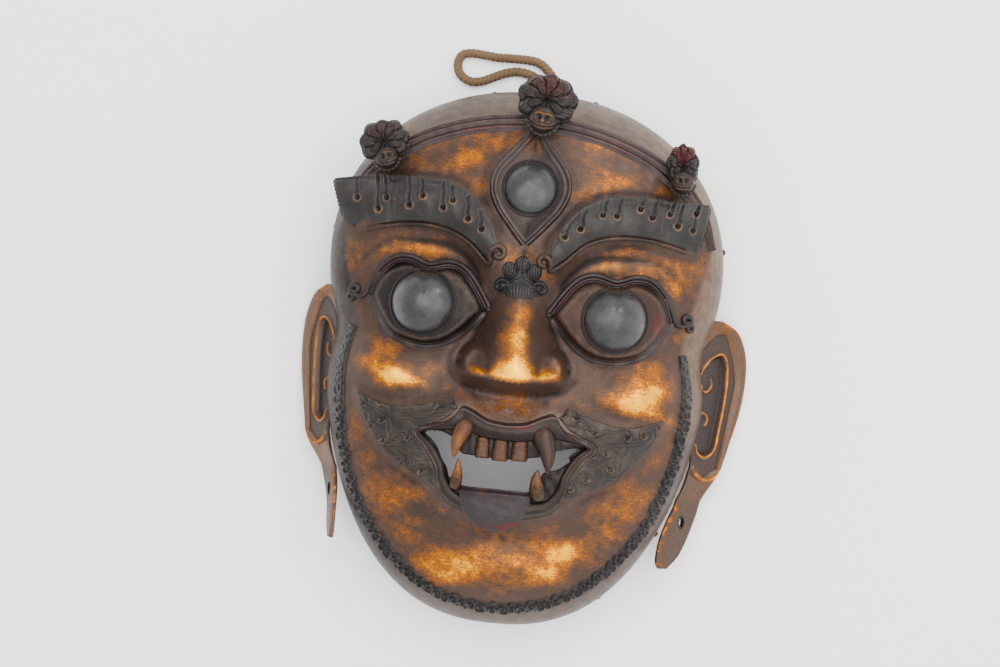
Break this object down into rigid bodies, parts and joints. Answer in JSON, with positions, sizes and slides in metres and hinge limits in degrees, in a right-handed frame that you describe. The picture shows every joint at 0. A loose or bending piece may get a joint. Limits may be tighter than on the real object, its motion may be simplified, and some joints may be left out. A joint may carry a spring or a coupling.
{
  "type": "tibetan cham mask",
  "caption": "Hollow hammered-copper dance mask of a wrathful three-eyed face with fangs, tongue, skull ornaments, long-lobed ears and a rope loop.",
  "frame": {"origin": "middle of the mask's box at the back edge that it rests on", "axes": "+X to the viewer's right, +Y to the top of the head, +Z straight out of the face; the mask lies face up"},
  "size_m": [0.3252, 0.4175, 0.1446],
  "materials": {
    "gilt_copper": "worn gilding over brown patina, hammered and chased",
    "dark_copper": "dark patina with worn red and gold",
    "silvered_eye": "blotched silver-grey lacquer",
    "straw_rope": "twisted plant fibre"
  },
  "bodies": {
    "root": {"face_shell": "gilt_copper", "ear_left": "gilt_copper", "ear_right": "gilt_copper", "eye_dome_left": "silvered_eye", "eye_dome_right": "silvered_eye", "eye_dome_third": "silvered_eye", "skull_centre": "dark_copper", "skull_left": "dark_copper", "skull_right": "dark_copper", "rim_stud_1": "dark_copper", "rim_stud_2": "dark_copper", "rim_stud_3": "dark_copper", "rim_stud_4": "dark_copper", "rim_stud_5": "dark_copper", "rim_stud_6": "dark_copper", "rim_stud_7": "dark_copper", "rim_stud_8": "dark_copper", "rim_stud_9": "dark_copper", "hanging_cord": "straw_rope"}
  },
  "joints": []
}
